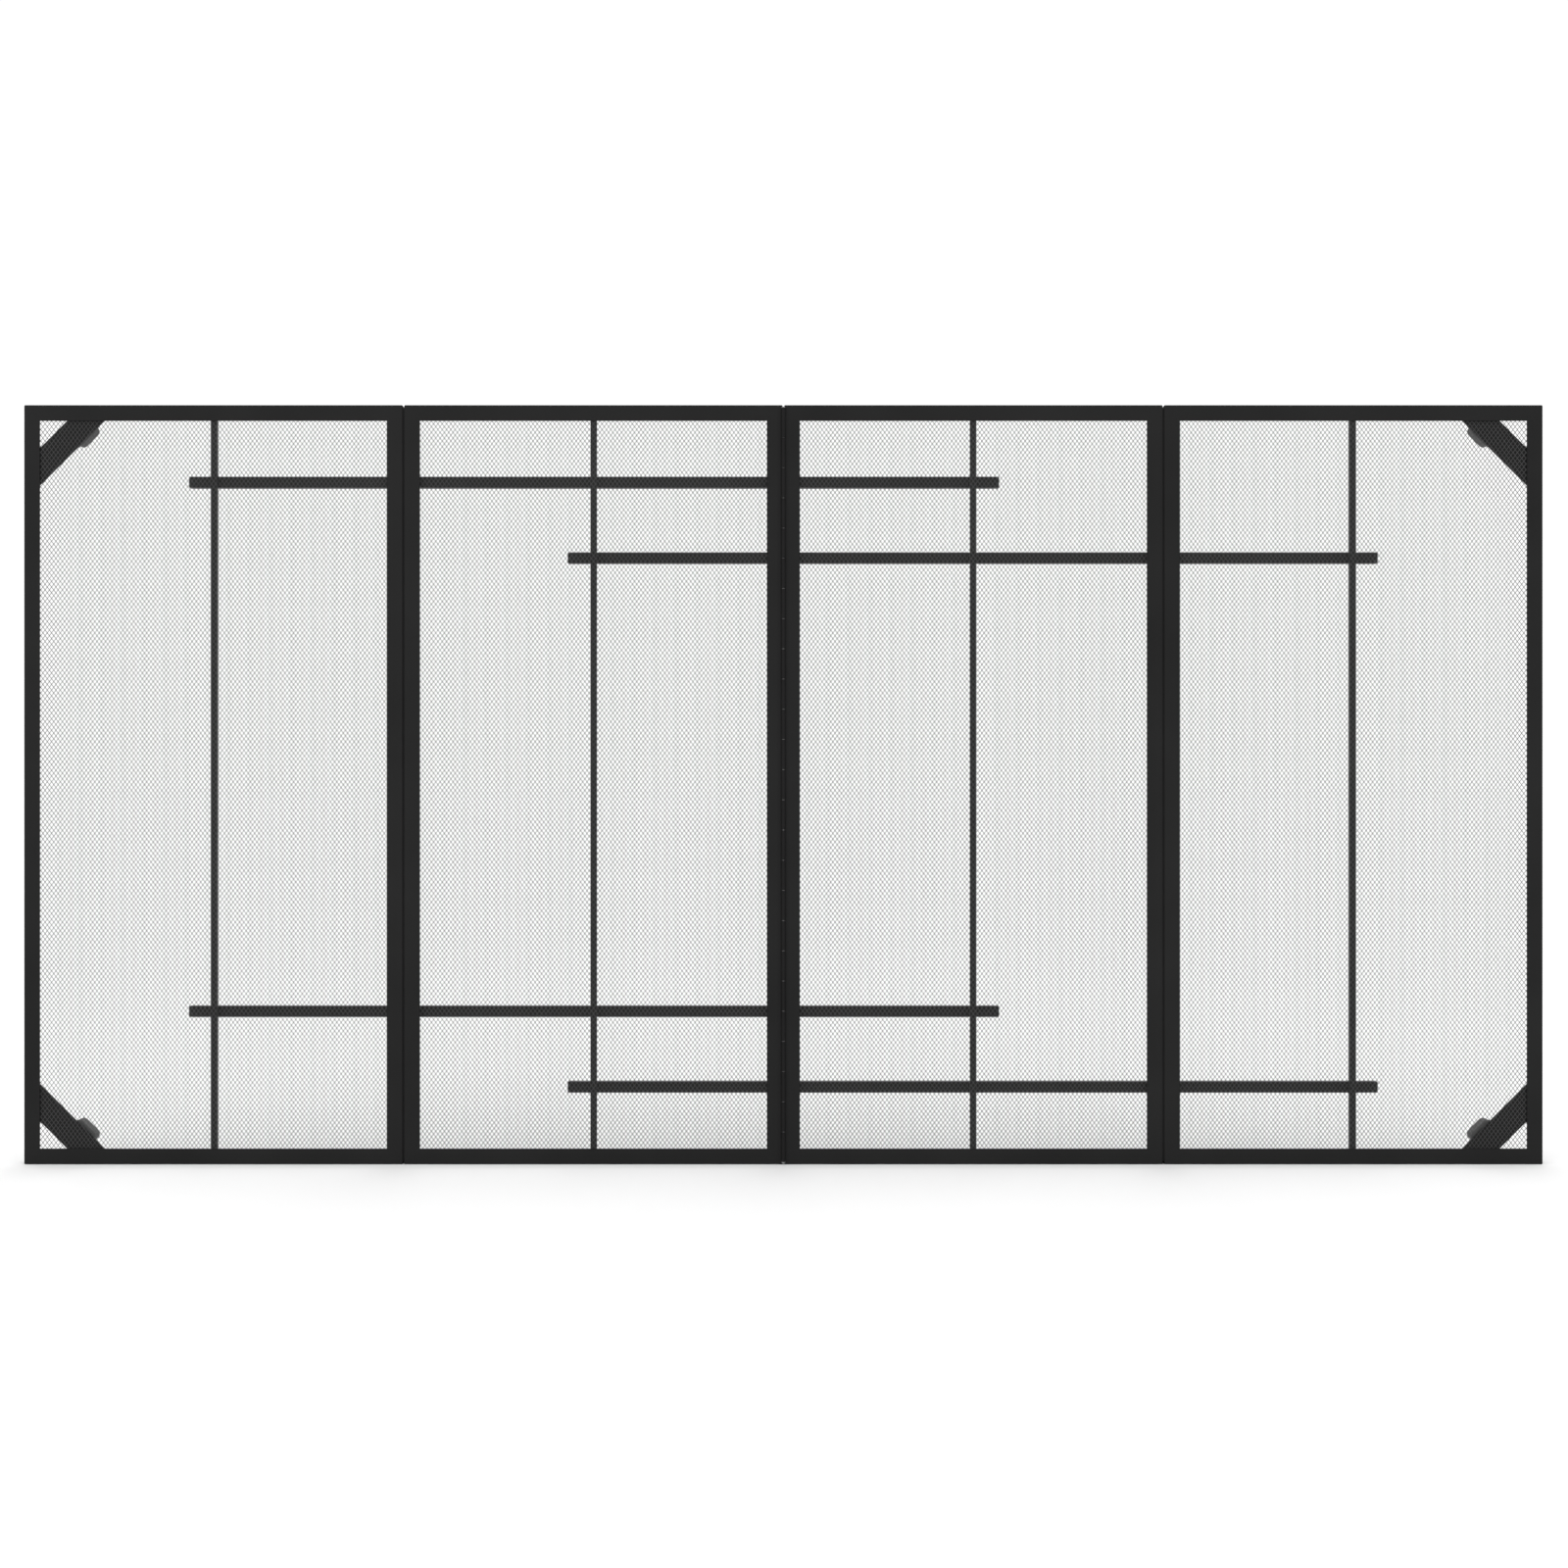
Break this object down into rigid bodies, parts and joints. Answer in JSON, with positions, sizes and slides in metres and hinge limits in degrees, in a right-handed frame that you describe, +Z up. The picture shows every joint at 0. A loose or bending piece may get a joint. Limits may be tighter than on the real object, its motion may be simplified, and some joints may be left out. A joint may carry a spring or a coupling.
{
  "type": "fireplace screen",
  "caption": "Folding fireplace screen: hinged black steel panels of fine diamond mesh, with upright and level bars behind the mesh and braces across the outer corners.",
  "frame": {"origin": "on the floor, below the middle of the screen's width and of its depth, with all the panels in line", "axes": "+X along the width, from the left outer panel to the right one as seen from the front; -Y is the front, where the mesh is nearest; +Z up"},
  "size_m": [1.5, 0.0262, 0.75],
  "materials": {
    "frame_steel": "satin black powder coat",
    "bar_steel": "satin black powder coat",
    "brace_steel": "matt black powder coat",
    "mesh_steel": "satin black paint on fine wire",
    "hinge_steel": "satin black paint",
    "pin_steel": "plain drawn steel",
    "screw_steel": "zinc plated steel",
    "buffer_rubber": "matt grey moulded rubber"
  },
  "bodies": {
    "panel_1": {"brace_bottom_left": "brace_steel", "brace_top_left": "brace_steel", "buffer_bottom_left": "buffer_rubber", "buffer_screw_bottom_left": "screw_steel", "buffer_screw_top_left": "screw_steel", "buffer_top_left": "buffer_rubber", "hinge_1_leaf_left": "hinge_steel", "panel_1_bottom_rail": "frame_steel", "panel_1_centre_bar": "bar_steel", "panel_1_high_cross_bar": "bar_steel", "panel_1_left_stile": "frame_steel", "panel_1_lower_cross_bar": "bar_steel", "panel_1_mesh": "mesh_steel", "panel_1_right_stile": "frame_steel", "panel_1_top_rail": "frame_steel"},
    "panel_2": {"hinge_1_leaf_right": "hinge_steel", "hinge_1_pin": "pin_steel", "hinge_2_leaf_left": "hinge_steel", "hinge_2_pin": "pin_steel", "panel_2_bottom_rail": "frame_steel", "panel_2_centre_bar": "bar_steel", "panel_2_high_cross_bar": "bar_steel", "panel_2_left_stile": "frame_steel", "panel_2_low_cross_bar": "bar_steel", "panel_2_lower_cross_bar": "bar_steel", "panel_2_mesh": "mesh_steel", "panel_2_right_stile": "frame_steel", "panel_2_top_rail": "frame_steel", "panel_2_upper_cross_bar": "bar_steel"},
    "panel_3": {"hinge_2_leaf_right": "hinge_steel", "hinge_3_leaf_left": "hinge_steel", "hinge_3_pin": "pin_steel", "panel_3_bottom_rail": "frame_steel", "panel_3_centre_bar": "bar_steel", "panel_3_high_cross_bar": "bar_steel", "panel_3_left_stile": "frame_steel", "panel_3_low_cross_bar": "bar_steel", "panel_3_lower_cross_bar": "bar_steel", "panel_3_mesh": "mesh_steel", "panel_3_right_stile": "frame_steel", "panel_3_top_rail": "frame_steel", "panel_3_upper_cross_bar": "bar_steel"},
    "panel_4": {"brace_bottom_right": "brace_steel", "brace_top_right": "brace_steel", "buffer_bottom_right": "buffer_rubber", "buffer_screw_bottom_right": "screw_steel", "buffer_screw_top_right": "screw_steel", "buffer_top_right": "buffer_rubber", "hinge_3_leaf_right": "hinge_steel", "panel_4_bottom_rail": "frame_steel", "panel_4_centre_bar": "bar_steel", "panel_4_left_stile": "frame_steel", "panel_4_low_cross_bar": "bar_steel", "panel_4_mesh": "mesh_steel", "panel_4_right_stile": "frame_steel", "panel_4_top_rail": "frame_steel", "panel_4_upper_cross_bar": "bar_steel"}
  },
  "joints": [
    {"name": "hinge_1", "type": "hinge", "parent": "panel_2", "child": "panel_1", "pos_m": [-0.37535, 0.0112, 0.375], "axis": [0, 0, -1], "range_deg": [0, 180]},
    {"name": "hinge_2", "type": "hinge", "parent": "panel_2", "child": "panel_3", "pos_m": [0, -0.0112, 0.375], "axis": [0, 0, -1], "range_deg": [0, 180]},
    {"name": "hinge_3", "type": "hinge", "parent": "panel_3", "child": "panel_4", "pos_m": [0.37535, 0.0112, 0.375], "axis": [0, 0, 1], "range_deg": [0, 180]}
  ]
}
